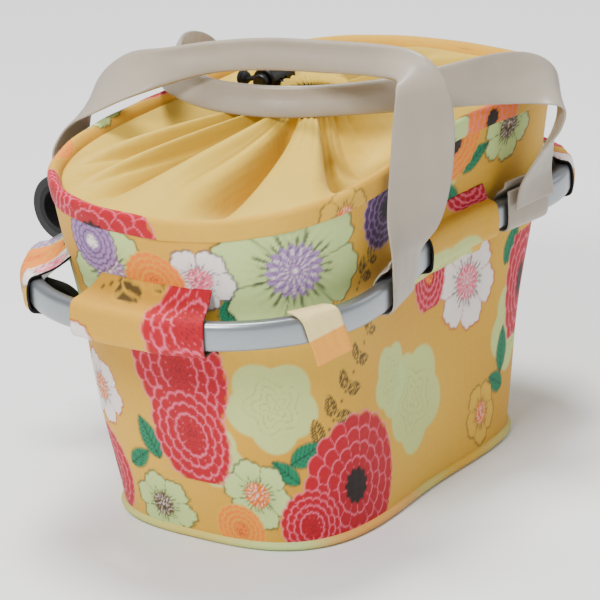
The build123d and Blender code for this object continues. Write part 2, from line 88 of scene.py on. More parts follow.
def plan_at(z):
    """Body outline's sizes at a height; z may be an array."""
    z = np.asarray(z, dtype=float)
    sizes = []
    for base, middle, rim in zip(BASE_PLAN, MIDDLE_PLAN, RIM_PLAN):
        lower = base + (middle - base) * z / RING_HEIGHT
        upper = middle + (rim - middle) * (z - RING_HEIGHT) / (LOFT_TOP - RING_HEIGHT)
        sizes.append(np.where(z < RING_HEIGHT, lower, upper))
    return sizes


def outline(plan, turn, grow=0.0):
    """Points of a waisted rounded outline."""
    near, far, depth, roundness, front, rear = plan
    power = 2.0 / roundness
    c, s = np.cos(turn), np.sin(turn)
    x = (np.where(c < 0, near, far) + grow) * np.sign(c) * np.abs(c) ** power
    y = (depth + grow) * np.sign(s) * np.abs(s) ** power
    ease = np.sqrt(np.abs(s))
    dent = np.where(s < 0, front * ease * waist(x, FRONT_WAIST_X), -rear * ease * waist(x, 0.0))
    return x, y + dent


def rim_top(x):
    """Height of the curved rim line at a place along X."""
    return RIM_MIDDLE - RIM_DROP * (x / RIM_PLAN[0]) ** 2


def even_turns(plan, count, closed=True):
    """Angles evenly spaced along an outline, and the distance from the front's middle."""
    dense = REAR + np.linspace(0, 2 * math.pi, 4001)
    x, y = outline(plan, dense)
    run = np.concatenate([[0], np.cumsum(np.hypot(np.diff(x), np.diff(y)))])
    front = np.interp(REAR + math.pi, dense, run)
    marks = np.linspace(0, run[-1], count + 1)
    if closed:
        marks = marks[:-1]
    return np.interp(marks, run, dense), marks - front


# ---- mesh helpers ----------------------------------------------------------------------
def grid(name, points, around=False, closed_rows=False, colours=None):
    """Mesh from a rows x columns x 3 array in millimetres; colours are linear RGB per point."""
    rows, columns = points.shape[:2]
    index = np.arange(rows * columns).reshape(rows, columns)
    if around:
        index = np.concatenate([index, index[:, :1]], axis=1)
    if closed_rows:
        index = np.concatenate([index, index[:1]], axis=0)
    quads = np.stack([index[:-1, :-1], index[:-1, 1:], index[1:, 1:], index[1:, :-1]], axis=-1)
    quads = quads.reshape(-1, 4)
    mesh = bpy.data.meshes.new(name)
    mesh.vertices.add(rows * columns)
    mesh.vertices.foreach_set("co", (points * MM).astype(np.float32).ravel())
    mesh.loops.add(quads.size)
    mesh.loops.foreach_set("vertex_index", quads.astype(np.int32).ravel())
    mesh.polygons.add(len(quads))
    mesh.polygons.foreach_set("loop_start", np.arange(0, quads.size, 4, dtype=np.int32))
    mesh.update(calc_edges=True)
    mesh.validate()
    mesh.polygons.foreach_set("use_smooth", np.ones(len(mesh.polygons), dtype=bool))
    if colours is not None:
        layer = mesh.color_attributes.new("print", "FLOAT_COLOR", "POINT")
        rgba = np.ones((rows * columns, 4), dtype=np.float32)
        rgba[:, :3] = colours.reshape(-1, 3)
        layer.data.foreach_set("color", rgba.ravel())
    obj = bpy.data.objects.new(name, mesh)
    bpy.context.scene.collection.objects.link(obj)
    return obj


def face_out(obj):
    """Makes the faces of a mesh point outwards."""
    work = bmesh.new()
    work.from_mesh(obj.data)
    bmesh.ops.recalc_face_normals(work, faces=work.faces)
    work.to_mesh(obj.data)
    work.free()
    return obj


def spline(points, steps):
    """Smooth curve through points (Catmull-Rom), any number of columns."""
    points = np.asarray(points, dtype=float)
    padded = np.vstack([2 * points[0] - points[1], points, 2 * points[-1] - points[-2]])
    out = []
    for i in range(len(points) - 1):
        a, b, c, d = padded[i:i + 4]
        t = np.linspace(0, 1, steps, endpoint=False)[:, None]
        out.append(0.5 * (2 * b + (c - a) * t + (2 * a - 5 * b + 4 * c - d) * t ** 2
                          + (3 * b - a - 3 * c + d) * t ** 3))
    out.append(points[-1:])
    return np.vstack(out)


def capped(obj):
    """Fills the open ends of a tube-like mesh."""
    work = bmesh.new()
    work.from_mesh(obj.data)
    bmesh.ops.holes_fill(work, edges=[e for e in work.edges if e.is_boundary], sides=0)
    bmesh.ops.recalc_face_normals(work, faces=work.faces)
    work.to_mesh(obj.data)
    work.free()
    return obj


# ---- the printed pattern: a generic mixed-flower print ---------------------------------
MUSTARD, MUSTARD_LIGHT = srgb("D8B044"), srgb("E4C25C")
PALE_GREEN = srgb("CFDFA4")
CRIMSON, PINK = srgb("C4123E"), srgb("F08FA6")
LILAC, PLUM = srgb("B79CC4"), srgb("6B4A78")
WHITE, ORANGE = srgb("F1EAE6"), srgb("EF9A3F")
TEAL, TEAL_DARK = srgb("2C9B78"), srgb("14614F")
OLIVE, INK, BROWN = srgb("7D6A3F"), srgb("3A3340"), srgb("3E2A22")


def soft(value, width):
    """0 below zero, 1 above width, smooth between."""
    t = np.clip(value / width, 0, 1)
    return t * t * (3 - 2 * t)


def lay(canvas, colour, mask):
    """Paints a colour over the canvas where the mask is above 0."""
    canvas += (colour - canvas) * mask[..., None]


def polar(u, v, place, size, turn):
    """Distance from a place, in sizes, and angle round it."""
    du, dv = u - place[0], v - place[1]
    return np.hypot(du, dv) / size, np.arctan2(dv, du) + turn


def open_flower(canvas, u, v, place, size, petals, fill, vein, heart, turn=0.3):
    """Wide ruffled petals round a stippled heart."""
    near = (np.abs(u - place[0]) < size * 1.3) & (np.abs(v - place[1]) < size * 1.3)
    if not near.any():
        return
    part = canvas[near]
    r, a = polar(u[near], v[near], place, size, turn)
    lobe = np.abs(np.cos(petals * a / 2))
    edge = 0.72 + 0.24 * lobe ** 0.5 + 0.025 * np.sin(13 * a) + 0.018 * np.sin(29 * a + 1)
    body = soft(edge - r, 1.0 / size)
    shade = 0.5 + 0.5 * np.sin(a * petals * 5 + 5 * r)
    tone = fill[None] * (1 - 0.22 * shade[:, None] * soft(0.75 - r, 0.5)[:, None])
    part += (tone - part) * body[:, None]
    lay(part, vein, 0.75 * soft(1.2 / size - np.abs(r - edge), 1.0 / size))
    lay(part, vein, 0.6 * body * soft(0.10 - lobe, 0.08) * soft(r - 0.3, 0.1))
    reach = 0.50 + 0.07 * np.sin(a * 9)
    rays = soft(np.sin(a * 26) - 0.1, 0.5) * soft(reach - r, 0.08) * soft(r - 0.22, 0.05)
    lay(part, INK, 0.75 * rays)
    lay(part, heart, soft(0.36 + 0.03 * np.sin(17 * a) - r, 0.04))
    dots = soft(np.sin(a * 15 + 9 * np.floor(r * 26)) * np.sin(r * 82) - 0.05, 0.4)
    lay(part, WHITE, 0.65 * dots * soft(0.33 - r, 0.03))
    lay(part, INK, 0.5 * soft(-np.sin(a * 15 + r * 40) - 0.5, 0.4) * soft(0.36 - r, 0.03))
    lay(part, WHITE, 0.8 * soft(0.05 - r, 0.03))
    canvas[near] = part


def dahlia(canvas, u, v, place, size, fill, line, heart, rings=5, turn=0.0, squash=1.0):
    """Rows of overlapping small petals."""
    near = (np.abs(u - place[0]) < size * 1.2) & (np.abs(v - place[1]) < size * 1.2)
    if not near.any():
        return
    part = canvas[near]
    du, dv = u[near] - place[0], (v[near] - place[1]) * squash
    r = np.hypot(du, dv) / size
    a = np.arctan2(dv, du) + turn
    edge = 0.93 + 0.05 * np.abs(np.sin(9 * a))
    lay(part, fill, soft(edge - r, 1.0 / size))
    count = 9
    for ring in range(rings, 0, -1):
        outer = ring / rings
        petals = count + 2 * ring
        wave = np.abs(np.cos(petals * a / 2 + ring * 1.3))
        tip = outer * (0.90 + 0.09 * wave ** 0.6)
        inside = soft(tip - r, 0.8 / size)
        tone = fill * (0.72 + 0.07 * ring)
        lay(part, np.clip(tone, 0, 1), inside * 0.55)
        lay(part, line, 0.8 * soft(0.9 / size - np.abs(r - tip), 0.7 / size))
        between = soft(0.16 - wave, 0.12) * soft(tip - r, 0.02) * soft(r - tip + 1.0 / rings, 0.03)
        lay(part, line, 0.55 * between)
    lay(part, heart, soft(0.26 + 0.02 * np.sin(11 * a) - r, 0.04))
    lay(part, INK, 0.5 * soft(np.sin(a * 11) * np.sin(r * 60) - 0.2, 0.3) * soft(0.24 - r, 0.03))
    canvas[near] = part


def leaf(canvas, u, v, place, size, turn, fill, vein, slim=0.42):
    """Pointed leaf with side veins."""
    near = (np.abs(u - place[0]) < size) & (np.abs(v - place[1]) < size)
    if not near.any():
        return
    part = canvas[near]
    du, dv = u[near] - place[0], v[near] - place[1]
    along = (du * math.cos(turn) + dv * math.sin(turn)) / size
    across = (-du * math.sin(turn) + dv * math.cos(turn)) / size
    half = slim * np.clip(1 - (along * 1.25) ** 2, 0, 1) ** 0.8 * (1 - 0.3 * along)
    body = soft(half - np.abs(across), 1.0 / size)
    lay(part, fill, body)
    side = soft(np.sin((along - 0.9 * np.abs(across)) * 30) - 0.45, 0.4)
    lay(part, vein, 0.7 * body * side)
    lay(part, vein, 0.8 * body * soft(0.045 - np.abs(across), 0.03))
    lay(part, vein, 0.5 * soft(0.9 / size - np.abs(np.abs(across) - half), 0.8 / size) * (half > 0.01))
    canvas[near] = part


def sprig(canvas, u, v, start, end, leaves, size, fill):
    """Curved stem with paired rounded leaves."""
    start, end = np.array(start, dtype=float), np.array(end, dtype=float)
    run = end - start
    side = np.array([-run[1], run[0]]) / np.hypot(*run)
    for i in range(leaves * 3 + 1):
        share = i / (leaves * 3)
        spot = start + run * share + side * 5 * math.sin(2.6 * share)
        r = np.hypot(u - spot[0], v - spot[1])
        lay(canvas, fill, soft(1.6 - r, 1.0))
    heading = math.atan2(run[1], run[0])
    for i in range(leaves):
        share = (i + 0.7) / leaves
        spot = start + run * share + side * 5 * math.sin(2.6 * share)
        reach = size * (1.15 - 0.55 * share)
        for hand in (-1, 1):
            turn = heading + hand * 0.95
            middle = spot + reach * 0.85 * np.array([math.cos(turn), math.sin(turn)])
            leaf(canvas, u, v, middle, reach, turn, fill, MUSTARD_LIGHT, 0.5)


def floral(u, v):
    """The whole print over unrolled cloth: u along it and v up it, in millimetres."""
    cloud = np.sin(u / 41 + 1.7) * np.sin(v / 33 + 0.4) * 0.5 + 0.5
    canvas = MUSTARD + (MUSTARD_LIGHT - MUSTARD) * cloud[..., None]
    for shift in (0.0, 857.2, -857.2):
        w = u + shift
        for place, size in PALE_SHADOWS:
            r, a = polar(w, v, place, size, 0.4)
            lay(canvas, PALE_GREEN, 0.85 * soft(0.8 + 0.17 * np.abs(np.cos(2.5 * a)) - r, 2.0 / size))
            veins = soft(np.sin(r * 40 + 3 * np.sin(5 * a)) - 0.75, 0.3)
            lay(canvas, OLIVE, 0.35 * veins * soft(0.62 - r, 0.1))
        for start, end, leaves, size in SPRIGS:
            sprig(canvas, w, v, start, end, leaves, size, OLIVE)
        for place, size, turn in LEAVES:
            leaf(canvas, w, v, place, size, turn, TEAL, TEAL_DARK)
        for place, size, petals, fill, vein, heart in OPEN_FLOWERS:
            open_flower(canvas, w, v, place, size, petals, fill, vein, heart)
        for place, size, fill, line, heart, squash in DAHLIAS:
            dahlia(canvas, w, v, place, size, fill, line, heart, squash=squash)
    return canvas


PALE_SHADOWS = [((-14, 60), 34), ((-44, 82), 24), ((-150, 92), 32), ((-196, 60), 24), ((104, 70), 30),
                ((170, 140), 32), ((-300, 150), 30), ((250, 60), 34), ((340, 150), 32), ((-380, 50), 32),
                ((13, 182), 20)]
SPRIGS = [((-128, 52), (-66, 122), 5, 11), ((-262, 128), (-212, 142), 4, 9), ((120, 60), (150, 130), 5, 11),
          ((290, 40), (320, 130), 5, 11), ((-350, 90), (-330, 170), 4, 10), ((-84, 150), (-60, 168), 3, 8)]
LEAVES = [((-132, 60), 17, 0.4), ((-148, 50), 15, 2.4), ((-236, 62), 18, 1.9), ((-248, 46), 14, 0.6),
          ((34, 132), 16, 1.2), ((46, 186), 16, 0.5), ((28, 168), 14, 2.2), ((92, 58), 18, 1.6),
          ((86, 40), 15, 2.7), ((-166, 152), 13, 1.4), ((96, 120), 17, 1.0), ((200, 90), 17, 0.3),
          ((220, 170), 16, 1.2), ((380, 90), 17, 2.2), ((-330, 40), 17, 0.9), ((-400, 120), 16, 2.0)]
OPEN_FLOWERS = [((-128, 174), 45, 6, PALE_GREEN, INK, LILAC), ((-236, 168), 32, 5, PALE_GREEN, INK, LILAC),
                ((-178, 172), 20, 5, WHITE, PLUM, PINK), ((48, 110), 30, 6, WHITE, CRIMSON, PINK),
                ((-276, 84), 24, 6, WHITE, CRIMSON, ORANGE),
                ((-170, 36), 24, 6, PALE_GREEN, TEAL_DARK, ORANGE),
                ((74, 196), 22, 6, PALE_GREEN, INK, OLIVE), ((66, 26), 20, 5, MUSTARD_LIGHT, OLIVE, ORANGE),
                ((190, 40), 36, 6, PALE_GREEN, INK, LILAC), ((260, 130), 30, 6, WHITE, CRIMSON, PINK),
                ((300, 190), 26, 6, PALE_GREEN, INK, LILAC), ((400, 50), 34, 6, WHITE, CRIMSON, PINK),
                ((-330, 110), 28, 5, PALE_GREEN, INK, PINK),
                ((-236, 18), 22, 6, PALE_GREEN, TEAL_DARK, OLIVE),
                ((-400, 180), 32, 6, PALE_GREEN, INK, LILAC)]
DAHLIAS = [((-92, 32), 46, CRIMSON, PINK, BROWN, 1.0), ((-204, 112), 30, CRIMSON, PINK, CRIMSON, 0.7),
           ((-206, 70), 25, CRIMSON, PINK, CRIMSON, 0.7),
           ((-206, 166), 20, ORANGE, MUSTARD_LIGHT, ORANGE, 1.0),
           ((-134, 14), 24, CRIMSON, PINK, CRIMSON, 1.0), ((-58, 190), 24, PLUM, LILAC, INK, 1.0),
           ((10, 126), 17, CRIMSON, PINK, ORANGE, 0.7), ((118, 92), 26, CRIMSON, PINK, BROWN, 0.6),
           ((24, 200), 24, ORANGE, MUSTARD_LIGHT, BROWN, 1.0), ((-246, 184), 18, LILAC, PLUM, WHITE, 1.0),
           ((160, 180), 30, CRIMSON, PINK, BROWN, 1.0), ((230, 20), 26, ORANGE, PINK, BROWN, 1.0),
           ((330, 80), 38, CRIMSON, PINK, BROWN, 1.0), ((-290, 30), 30, CRIMSON, PINK, BROWN, 1.0),
           ((-370, 130), 24, LILAC, PLUM, INK, 1.0), ((380, 180), 28, ORANGE, PINK, BROWN, 1.0),
           ((-186, 12), 17, ORANGE, MUSTARD_LIGHT, ORANGE, 1.0)]


# ---- materials -------------------------------------------------------------------------
def new_material(name, colour, roughness, metallic=0.0):
    """Node material and its main shader."""
    material = bpy.data.materials.new(name)
    material.use_nodes = True
    shader = material.node_tree.nodes["Principled BSDF"]
    shader.inputs["Base Color"].default_value = (*colour, 1)
    shader.inputs["Roughness"].default_value = roughness
    shader.inputs["Metallic"].default_value = metallic
    return material, shader


def node(material, kind, **values):
    """New shader node with its inputs or settings given by name."""
    made = material.node_tree.nodes.new(kind)
    for key, value in values.items():
        if key in made.inputs:
            made.inputs[key].default_value = value
        else:
            setattr(made, key, value)
    return made


def join(material, source, target):
    """Links two sockets."""
    material.node_tree.links.new(source, target)


def noise_tint(material, shader, colour, scale, amount):
    """Soft variation of a plain colour."""
    place = node(material, "ShaderNodeTexCoord")
    noise = node(material, "ShaderNodeTexNoise", Scale=scale, Detail=4.0)
    ramp = node(material, "ShaderNodeMix", data_type="RGBA")
    ramp.inputs[6].default_value = (*np.clip(colour * (1 - amount), 0, 1), 1)
    ramp.inputs[7].default_value = (*np.clip(colour * (1 + amount), 0, 1), 1)
    join(material, place.outputs["Object"], noise.inputs["Vector"])
    join(material, noise.outputs["Fac"], ramp.inputs[0])
    join(material, ramp.outputs[2], shader.inputs["Base Color"])
    return ramp


def weave(material, shader, thread, depth, crumple=0.0):
    """Crossed threads, with soft creases, as bump; thread is in metres."""
    place = node(material, "ShaderNodeTexCoord")
    heights = []
    for direction in ("X", "Y", "Z"):
        wave = node(material, "ShaderNodeTexWave", bands_direction=direction,
                    Scale=0.314 / thread / 10, Distortion=0.4)
        join(material, place.outputs["Object"], wave.inputs["Vector"])
        heights.append(wave.outputs["Fac"])
    total = node(material, "ShaderNodeMath", operation="ADD")
    join(material, heights[0], total.inputs[0])
    join(material, heights[1], total.inputs[1])
    both = node(material, "ShaderNodeMath", operation="ADD")
    join(material, total.outputs[0], both.inputs[0])
    join(material, heights[2], both.inputs[1])
    bump = node(material, "ShaderNodeBump", Strength=depth, Distance=thread * 0.3)
    join(material, both.outputs[0], bump.inputs["Height"])
    if crumple:
        creases = node(material, "ShaderNodeTexNoise", Scale=26.0, Detail=3.0, Distortion=0.6)
        join(material, place.outputs["Object"], creases.inputs["Vector"])
        second = node(material, "ShaderNodeBump", Strength=crumple, Distance=0.004)
        join(material, creases.outputs["Fac"], second.inputs["Height"])
        join(material, second.outputs["Normal"], bump.inputs["Normal"])
    join(material, bump.outputs["Normal"], shader.inputs["Normal"])


def cloth(name, colour, roughness=0.75, sheen=0.05, thread=0.0006, depth=0.35, crumple=0.12,
          tint=0.06, printed=False):
    """Woven cloth, plain or with the print painted on the mesh."""
    material, shader = new_material(name, colour, roughness)
    shader.inputs["Sheen Weight"].default_value = sheen
    shader.inputs["Specular IOR Level"].default_value = 0.35
    if printed:
        paint = node(material, "ShaderNodeVertexColor", layer_name="print")
        place = node(material, "ShaderNodeTexCoord")
        grain = node(material, "ShaderNodeTexNoise", Scale=900.0, Detail=2.0)
        level = node(material, "ShaderNodeMapRange")
        level.inputs["To Min"].default_value = 0.90
        level.inputs["To Max"].default_value = 1.08
        scaled = node(material, "ShaderNodeVectorMath", operation="SCALE")
        join(material, place.outputs["Object"], grain.inputs["Vector"])
        join(material, grain.outputs["Fac"], level.inputs["Value"])
        join(material, paint.outputs["Color"], scaled.inputs[0])
        join(material, level.outputs["Result"], scaled.inputs["Scale"])
        join(material, scaled.outputs["Vector"], shader.inputs["Base Color"])
    else:
        noise_tint(material, shader, colour, 60.0, tint)
    weave(material, shader, thread, depth, crumple)
    return material


def plastic(name, colour, roughness=0.42):
    """Moulded plastic with a fine grain."""
    material, shader = new_material(name, colour, roughness)
    noise_tint(material, shader, colour, 300.0, 0.12)
    place = node(material, "ShaderNodeTexCoord")
    grain = node(material, "ShaderNodeTexNoise", Scale=1800.0, Detail=2.0)
    bump = node(material, "ShaderNodeBump", Strength=0.12, Distance=0.0003)
    join(material, place.outputs["Object"], grain.inputs["Vector"])
    join(material, grain.outputs["Fac"], bump.inputs["Height"])
    join(material, bump.outputs["Normal"], shader.inputs["Normal"])
    return material


def metal(name, colour, roughness=0.34):
    """Satin metal with a fine uneven polish."""
    material, shader = new_material(name, colour, roughness, 0.85)
    noise_tint(material, shader, colour, 40.0, 0.04)
    place = node(material, "ShaderNodeTexCoord")
    grain = node(material, "ShaderNodeTexNoise", Scale=700.0, Detail=3.0)
    level = node(material, "ShaderNodeMapRange")
    level.inputs["To Min"].default_value = roughness - 0.06
    level.inputs["To Max"].default_value = roughness + 0.08
    join(material, place.outputs["Object"], grain.inputs["Vector"])
    join(material, grain.outputs["Fac"], level.inputs["Value"])
    join(material, level.outputs["Result"], shader.inputs["Roughness"])
    return material


PRINTED = cloth("printed_cloth", MUSTARD, printed=True)
PIPING = cloth("piping_cloth", srgb("CFCF8E"), printed=True)
# Black cloth, partly painted shade: on the sleeves' inner faces and cut edges it stands in for the dark
# shade inside their mouths; the floor's underside is black too.
BLACK_CLOTH_AND_MOUTH_SHADE = cloth("black_cloth_and_mouth_shade", srgb("1B1B1D"), tint=0.2)
BEIGE_LINING = cloth("beige_lining", srgb("CDAA5C"))
LINER = cloth("liner_cloth", srgb("DEC45E"), roughness=0.60, sheen=0.08, crumple=0.22, thread=0.0005)
WEBBING = cloth("webbing", srgb("BAB2A6"), roughness=0.36, sheen=0.04, thread=0.0011, depth=0.30,
                crumple=0.05)
LABEL = cloth("label_cloth", srgb("EBCB86"), thread=0.0005, printed=True)
CORD = cloth("cord_braid", srgb("141414"), thread=0.0006, depth=0.8)
BLACK = plastic("black_plastic", srgb("1A1A1C"))
DARK = plastic("dark_plastic", srgb("2B2B2E"))
RED = plastic("red_plastic", srgb("B01717"), 0.3)
RUBBER = plastic("shim_rubber", srgb("151515"), 0.7)
TUBE = metal("satin_aluminium", srgb("B4B8BB"))
STEEL = metal("screw_steel", srgb("9A9A9A"), 0.3)


def dressed(obj, *materials):
    """The object with these materials and no others."""
    obj.data.materials.clear()
    for material in materials:
        obj.data.materials.append(material)
    return obj


# ---- body ------------------------------------------------------------------------------
def sag(turn, z):
    """Small hollows and swells of the fabric wall, in millimetres, zero at hem and rim."""
    hold = np.sin(np.clip(z / 205.0, 0, 1) * math.pi)
    wave = np.sin(3 * turn + 0.7) * np.sin(z / 31.0) + 0.7 * np.sin(7 * turn + z / 23.0)
    return hold * (0.8 * wave - 0.6)


def wall():
    """Printed side wall, from just above the floor to under the binding."""
    turns, along = even_turns(MIDDLE_PLAN, 860)
    share = np.linspace(0, 1, 206)[:, None]
    turn = np.broadcast_to(turns, (206, 860))
    x_top, _ = outline(RIM_PLAN, turns)
    z = 2.0 + share * (rim_top(x_top) - 3.0 - 2.0)
    x, y = outline(plan_at(z), turn, sag(turn, z) + 0.2)
    u = np.broadcast_to(along, z.shape)
    obj = grid("printed_wall", np.stack([x, y, z], -1), True, colours=floral(u, z))
    dressed(face_out(obj), PRINTED)
    return obj


def lining():
    """Inside of the body and its floor, one open bag."""
    turns, _ = even_turns(MIDDLE_PLAN, 180)
    rows = []
    for z in np.linspace(204, 8.5, 30):
        x, y = outline(plan_at(z), turns, -4.6)
        rows.append(np.stack([x, y, np.full_like(x, z)], -1))
    for share in (0.97, 0.8, 0.5, 0.2, 0.01):
        x, y = outline(plan_at(8.0), turns, -6.0)
        rows.append(np.stack([x * share, y * share, np.full_like(x, 7.4)], -1))
    return dressed(face_out(grid("inner_lining", np.array(rows), True)), BEIGE_LINING)


def floor_cloth():
    """Dark underside of the floor."""
    turns, _ = even_turns(BASE_PLAN, 180)
    x, y = outline(BASE_PLAN, turns, 0.0)
    levels = ((1.0, 2.5), (0.99, 0.6), (0.96, 0.0), (0.7, 0.0), (0.4, 0.0), (0.01, 0.0))
    rows = [np.stack([x * s, y * s, np.full_like(x, z)], -1) for s, z in levels]
    return dressed(face_out(grid("floor_cloth", np.array(rows), True)), BLACK_CLOTH_AND_MOUTH_SHADE)


def binding():
    """Folded strip over the rim, in its own cut of the print."""
    turns, along = even_turns(RIM_PLAN, 900)
    section = spline([(0.2, -11.0), (1.1, -10.2), (1.3, -6.0), (1.0, -1.5), (-0.6, 1.2), (-2.0, 1.6),
                      (-3.6, 1.1), (-5.0, -1.5), (-5.3, -6.0), (-5.2, -10.5)], 4)
    x_top, _ = outline(RIM_PLAN, turns)
    rows, tones = [], []
    for i, (grow, drop) in enumerate(section):
        z = rim_top(x_top) + drop
        ripple = 0.25 * np.sin(along / 6.0) + 0.2 * np.sin(along / 17.0 + 1)
        x, y = outline(plan_at(z), turns, grow + ripple)
        rows.append(np.stack([x, y, z], -1))
        tones.append(floral(along * 1.02 + 172.0, np.full_like(along, 28.0 - 1.1 * i)))
    obj = grid("rim_binding_strip", np.array(rows), True, colours=np.array(tones))
    return dressed(face_out(obj), PRINTED)


def ring_sweep(name, plan, z, section, count, tones=None):
    """Closed tube round an outline; section is a list of (outward, up)."""
    turns, along = even_turns(plan, count)
    rows = []
    for out, up in section:
        x, y = outline(plan, turns, out)
        rows.append(np.stack([x, y, np.full_like(x, z + up)], -1))
    colours = None if tones is None else np.broadcast_to(tones(along), (len(rows), count, 3)).copy()
    return face_out(grid(name, np.array(rows), True, True, colours))


def rounded(half_out, half_up, power, count=24):
    """Closed rounded-rectangle section."""
    t = np.linspace(0, 2 * math.pi, count, endpoint=False)
    c, s = np.cos(t), np.sin(t)
    return [(half_out * math.copysign(abs(a) ** power, a), half_up * math.copysign(abs(b) ** power, b))
            for a, b in zip(c, s)]


def piping_tones(along):
    """Colours along the piping: pale green to yellow, with some orange."""
    mix = 0.5 + 0.5 * np.sin(along / 26.0) * np.sin(along / 47.0 + 1)
    warm = soft(np.sin(along / 61.0 + 2.5) - 0.6, 0.3)
    tone = PALE_GREEN + (MUSTARD_LIGHT - PALE_GREEN) * mix[:, None]
    return tone + (ORANGE - tone) * 0.5 * warm[:, None]


def oriented(plan, turn):
    """Point and outward direction of an outline at a turn."""
    x, y = outline(plan, np.array([turn - 0.002, turn, turn + 0.002]))
    run = np.array([x[2] - x[0], y[2] - y[0]])
    run /= np.hypot(*run)
    return np.array([x[1], y[1]]), np.array([run[1], -run[0]])


def turn_at(plan, x_wanted, front):
    """Turn where an outline has a given x, on the front or rear."""
    turns = np.linspace(-math.pi, 0, 3001) if front else np.linspace(0, math.pi, 3001)
    x, _ = outline(plan, turns)
    return turns[np.argmin(np.abs(x - x_wanted))]


def tunnel(name, start, end, shift):
    """Printed sleeve that leaves the wall, goes round the ring and returns."""
    steps = 60
    rows, u_rows, v_rows = [], [], []
    for turn in np.linspace(start, end, steps):
        spot, out = oriented(RING_PLAN, turn)
        high, low = RING_Z + 19.0, RING_Z - 21.0
        wall_high = np.array(outline(plan_at(high), np.array([turn]), -0.8))[:, 0]
        wall_low = np.array(outline(plan_at(low), np.array([turn]), -0.8))[:, 0]
        reach_high = float((wall_high - spot) @ out)
        reach_low = float((wall_low - spot) @ out)
        path = [(reach_high, high - RING_Z), (reach_high * 0.55, 13.5), (-1.0, 10.6), (4.2, 9.2),
                (6.2, 4.0), (6.3, -3.0), (4.8, -9.4), (-1.0, -11.4), (reach_low * 0.6, -14.5),
                (reach_low, low - RING_Z)]
        line = spline(path, 6)
        ripple = 0.35 * math.sin(turn * 37) + 0.2 * math.sin(turn * 91)
        row = [(*(spot + out * (o + ripple)), RING_Z + up) for o, up in line]
        rows.append(row)
        u_rows.append([turn * 150.0] * len(line))
        v_rows.append(np.linspace(60, 0, len(line)))
    u, v = np.array(u_rows), np.array(v_rows)
    tones = floral(u - u.mean() + shift[0], v + shift[1])
    obj = face_out(grid(name, np.array(rows), colours=tones))
    # The second material, black, covers the sleeve's inner face and cut edges: painted shade for the dark
    # sleeve mouths.
    dressed(obj, PRINTED, BLACK_CLOTH_AND_MOUTH_SHADE)
    thick = obj.modifiers.new("cloth", "SOLIDIFY")
    thick.thickness = 1.3 * MM
    thick.offset = 0.0
    thick.material_offset = 1
    thick.material_offset_rim = 1
    return obj


# ---- straps ----------------------------------------------------------------------------
def strap(name, stations, steps=10, camber=0.6):
    """Flat webbing through stations of centre, width direction, width and thickness."""
    dense = spline([(*c, *a, w, t) for c, a, w, t in stations], steps)
    centre = dense[:, :3]
    run = np.gradient(centre, axis=0)
    run /= np.linalg.norm(run, axis=1)[:, None]
    across = dense[:, 3:6]
    across -= run * np.sum(across * run, axis=1)[:, None]
    across /= np.linalg.norm(across, axis=1)[:, None]
    face = np.cross(run, across)
    section = np.array(rounded(1.0, 1.0, 0.42, 28))
    rows = []
    for i in range(len(dense)):
        width, thick = dense[i, 6], dense[i, 7]
        folded = np.clip((30.0 - width) / 12.0, 0, 1)
        x = section[:, 0] * width / 2
        bow = camber * (1 - section[:, 0] ** 2) * (1 - folded)
        seam = -0.9 * folded * np.exp(-((section[:, 0] - 0.55) / 0.12) ** 2) * np.sign(section[:, 1])
        y = section[:, 1] * thick / 2 + bow + seam
        rows.append(centre[i] + np.outer(x, across[i]) + np.outer(y, face[i]))
    return dressed(capped(grid(name, np.array(rows), True)), WEBBING)


def strap_loop(name, x, front):
    """Webbing loop round the ring, drawn up to a seam above it."""
    turn = turn_at(RING_PLAN, x, front)
    spot, out = oriented(RING_PLAN, turn)
    side = np.array([-out[1], out[0]])
    path = spline([(5.9, 14.0), (6.0, 4.0), (5.6, -6.0), (2.6, -10.2), (-2.6, -10.2), (-5.6, -6.0),
                   (-5.6, 5.0), (-2.0, 11.5), (2.6, 15.0), (4.2, 19.0)], 8)
    run = np.gradient(path, axis=0)
    run /= np.linalg.norm(run, axis=1)[:, None]
    normal = np.stack([run[:, 1], -run[:, 0]], -1)
    section = np.array(rounded(17.6, 0.75, 0.42, 20))
    rows = []
    for p, n in zip(path, normal):
        ring = []
        for s, t in section:
            q = p + n * t
            flat = spot + out * q[0] + side * s
            ring.append((flat[0], flat[1], RING_Z + q[1]))
        rows.append(ring)
    return dressed(capped(grid(name, np.array(rows), True)), WEBBING)


NEAR = [((-62, -104.0, 151), (1.0, 0.25, 0.0), 36, 2.0), ((-61, -104.8, 166), (1.0, 0.12, 0.0), 36, 2.0),
        ((-58, -108, 185), (0.88, -0.35, 0.0), 36, 2.0), ((-55, -111, 210), (0.78, -0.60, 0.0), 36, 2.0),
        ((-52, -112, 238), (0.76, -0.64, 0.0), 35, 2.0), ((-49, -109, 258), (0.80, -0.55, 0.15), 29, 2.6),
        ((-45, -99, 266.5), (0.70, -0.20, 0.60), 20, 5), ((-40, -75, 266), (0.35, 0.0, 0.93), 18, 6),
        ((-38, -40, 262.5), (0.25, 0.0, 0.95), 18, 6), ((-37, 0, 258), (0.25, 0.0, 0.95), 18, 6),
        ((-40, 35, 252), (0.30, 0.0, 0.95), 18, 6), ((-48, 62, 245), (0.40, 0.10, 0.90), 21, 4.5),
        ((-55, 86, 237), (0.65, 0.20, 0.68), 30, 2.4), ((-60, 108, 221), (0.85, 0.10, 0.48), 36, 2.0),
        ((-61.5, 119, 203), (0.98, 0.05, 0.2), 36, 2.0), ((-62, 121, 188), (1.0, 0.0, 0.05), 36, 2.0),
        ((-62, 112.5, 168), (1.0, -0.08, 0.0), 36, 2.0),
        ((-62, 109.0, 151), (1.0, -0.08, 0.0), 36, 2.0)]
